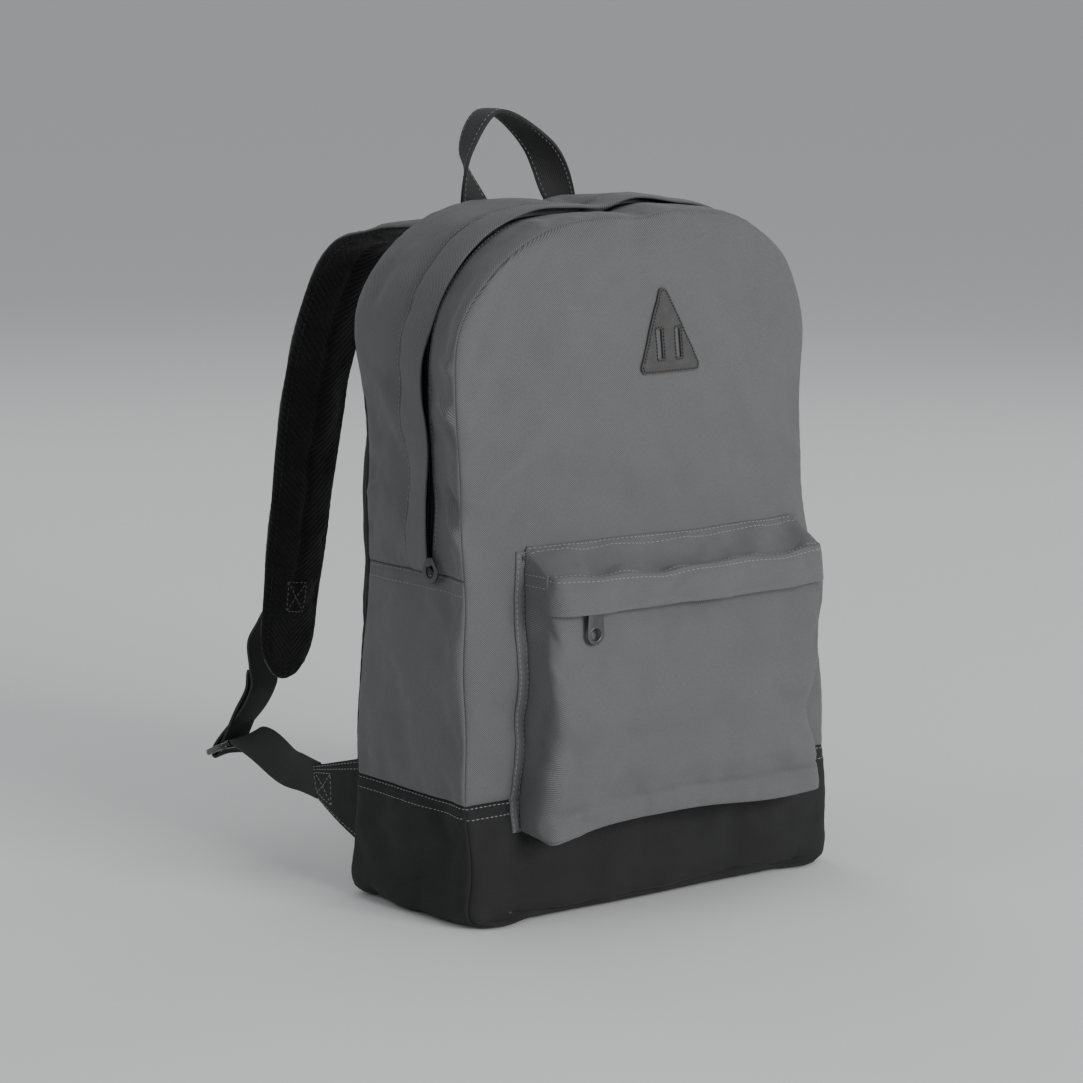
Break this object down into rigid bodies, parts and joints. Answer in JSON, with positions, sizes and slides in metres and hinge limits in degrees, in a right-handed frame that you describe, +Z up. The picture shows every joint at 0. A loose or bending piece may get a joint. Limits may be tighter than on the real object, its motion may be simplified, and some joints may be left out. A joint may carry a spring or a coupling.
{
  "type": "daypack",
  "caption": "Soft daypack with an arched zipped main compartment, a zipped front pocket under a flap, a loop grab handle and two padded shoulder straps on webbing.",
  "frame": {"origin": "middle of the base's underside, halfway between the left and right sides of the main body", "axes": "+X to the right as seen from the front, the front faces -Y, the back and its straps face +Y, +Z is up"},
  "size_m": [0.296, 0.3345, 0.4916],
  "materials": {
    "grey_twill": "matt polyester twill",
    "black_twill": "matt polyester twill and webbing",
    "black_mesh": "knitted spacer mesh",
    "foam": "closed-cell foam pad",
    "suede": "imitation suede",
    "zip_tape": "woven tape with moulded coil",
    "zip_metal": "black lacquered metal",
    "buckle_plastic": "glossy black acetal"
  },
  "bodies": {
    "root": {"front_panel_lower": "grey_twill", "base_front": "black_twill", "base_side_left": "black_twill", "base_side_right": "black_twill", "bottom_panel": "black_twill", "side_panel_left": "grey_twill", "side_panel_right": "grey_twill", "rear_gusset": "grey_twill", "storm_flap": "grey_twill", "main_zip_rear": "zip_tape", "back_panel": "black_twill", "back_foam": "foam", "yoke": "grey_twill", "pocket_front": "grey_twill", "pocket_gusset": "grey_twill", "pocket_roof": "grey_twill", "pocket_zip_lower": "zip_tape", "pocket_zip_upper": "zip_tape", "lower_web_left": "black_twill", "lower_web_right": "black_twill", "wing_left": "black_twill", "wing_right": "black_twill"},
    "mouth": {"front_panel_upper": "grey_twill", "front_gusset": "grey_twill", "main_zip_front": "zip_tape", "patch": "suede"},
    "handle": {"grab_handle": "black_twill"},
    "main_slider": {"main_slider": "zip_metal"},
    "main_pull": {"main_pull": "zip_metal"},
    "pocket_flap": {"pocket_flap": "grey_twill"},
    "pocket_slider": {"pocket_slider": "zip_metal"},
    "pocket_pull": {"pocket_pull": "zip_metal"},
    "strap_left": {"strap_foam_left": "foam", "strap_cover_left": "grey_twill", "strap_mesh_left": "black_mesh", "strap_web_left": "black_twill"},
    "strap_right": {"strap_foam_right": "foam", "strap_cover_right": "grey_twill", "strap_mesh_right": "black_mesh", "strap_web_right": "black_twill"},
    "adjuster_left": {"ladder_lock_left": "buckle_plastic"},
    "adjuster_right": {"ladder_lock_right": "buckle_plastic"}
  },
  "joints": [
    {"name": "handle_fold", "type": "hinge", "parent": "root", "child": "handle", "pos_m": [0, 0.062, 0.4305], "axis": [1, 0, 0], "range_deg": [-70, 70]},
    {"name": "mouth_open", "type": "hinge", "parent": "root", "child": "mouth", "pos_m": [0, -0.0575, 0.238], "axis": [1, 0, 0], "range_deg": [0, 35]},
    {"name": "main_slider_travel", "type": "slide", "parent": "root", "child": "main_slider", "axis": [0, 0, -1], "range_m": [-0.1, 0], "deforming": ["storm_flap"]},
    {"name": "main_pull_swing", "type": "hinge", "parent": "main_slider", "child": "main_pull", "pos_m": [-0.145, -0.0253, 0.227], "axis": [0, 1, 0], "range_deg": [0, 90]},
    {"name": "pocket_flap_lift", "type": "hinge", "parent": "root", "child": "pocket_flap", "pos_m": [0, -0.0983, 0.2195], "axis": [-1, 0, 0], "range_deg": [0, 100]},
    {"name": "pocket_slider_travel", "type": "slide", "parent": "root", "child": "pocket_slider", "axis": [1, 0, 0], "range_m": [0, 0.156]},
    {"name": "pocket_pull_swing", "type": "hinge", "parent": "pocket_slider", "child": "pocket_pull", "pos_m": [-0.078, -0.0974, 0.2063], "axis": [0, 1, 0], "range_deg": [-60, 60]},
    {"name": "strap_left_swing", "type": "hinge", "parent": "root", "child": "strap_left", "pos_m": [-0.05, 0.066, 0.418], "axis": [1, 0, 0], "range_deg": [-8, 8], "deforming": ["lower_web_left"]},
    {"name": "strap_right_swing", "type": "hinge", "parent": "root", "child": "strap_right", "pos_m": [0.05, 0.066, 0.418], "axis": [1, 0, 0], "range_deg": [-8, 8], "deforming": ["lower_web_right"]},
    {"name": "adjuster_left_tilt", "type": "hinge", "parent": "strap_left", "child": "adjuster_left", "pos_m": [-0.13, 0.219, 0.0665], "axis": [1, 0, 0], "range_deg": [-12, 12]},
    {"name": "adjuster_right_tilt", "type": "hinge", "parent": "strap_right", "child": "adjuster_right", "pos_m": [0.13, 0.219, 0.0665], "axis": [1, 0, 0], "range_deg": [-12, 12]}
  ]
}
